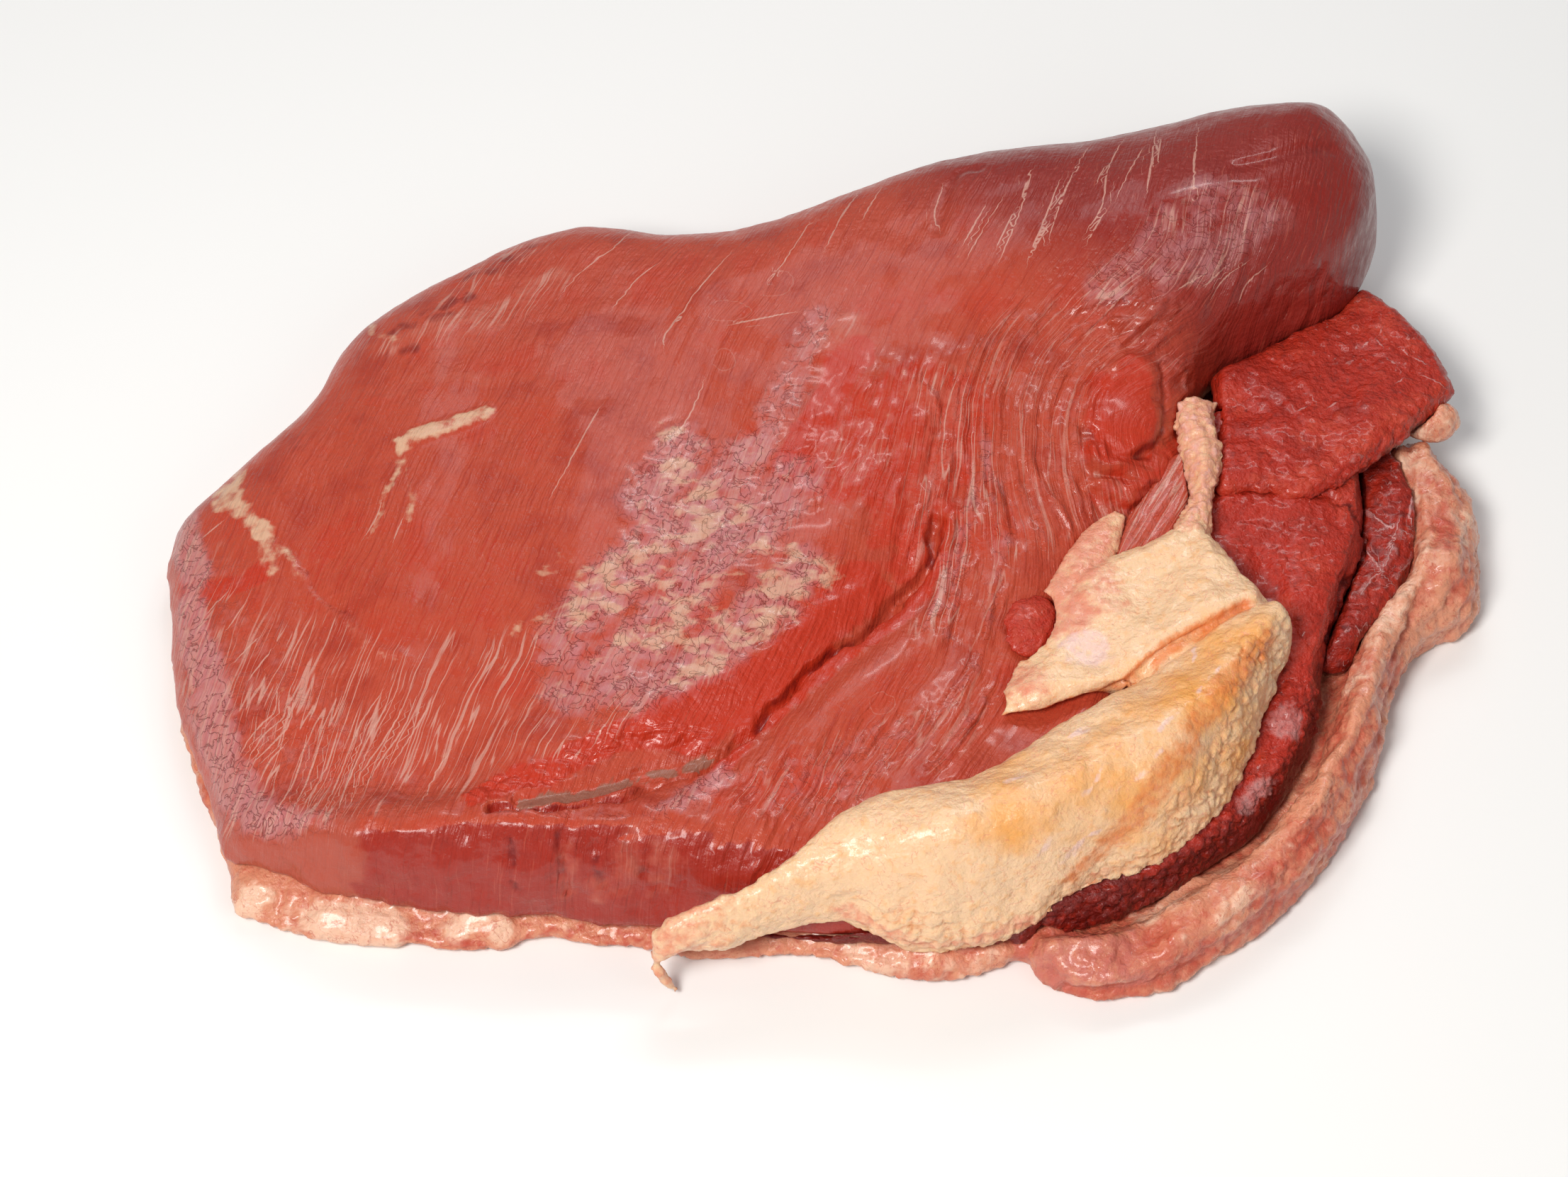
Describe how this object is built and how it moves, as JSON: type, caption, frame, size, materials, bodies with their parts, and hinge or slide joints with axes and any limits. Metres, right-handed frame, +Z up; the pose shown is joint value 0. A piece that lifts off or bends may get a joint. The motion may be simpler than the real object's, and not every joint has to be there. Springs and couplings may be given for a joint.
{
  "type": "raw beef brisket",
  "caption": "Whole raw beef brisket lying on its fat side: domed lean with a thick rolled end, a wedge of pale seam fat and loose dark flaps over a folded fat rim.",
  "frame": {"origin": "centre of the bounding box in plan, on the table under the fat cap", "axes": "+X along the piece from its thin end to its thick rolled end, +Y towards the back edge, +Z up"},
  "size_m": [0.4824, 0.3592, 0.0933],
  "materials": {
    "lean_meat": "raw beef under thin silverskin, moist satin",
    "cut_meat": "raw cut beef, coarse and moist",
    "seam_fat": "raw beef fat, lumpy and waxy",
    "cap_fat": "raw beef fat and membrane, pinkish, moist"
  },
  "bodies": {
    "root": {"fat_cap": "cap_fat", "flat_muscle": "lean_meat", "point_muscle": "cut_meat", "inner_muscle": "cut_meat", "top_flap": "cut_meat", "small_muscle": "cut_meat", "tongue_muscle": "lean_meat", "seam_fat": "seam_fat", "fat_nub": "cap_fat"}
  },
  "joints": []
}
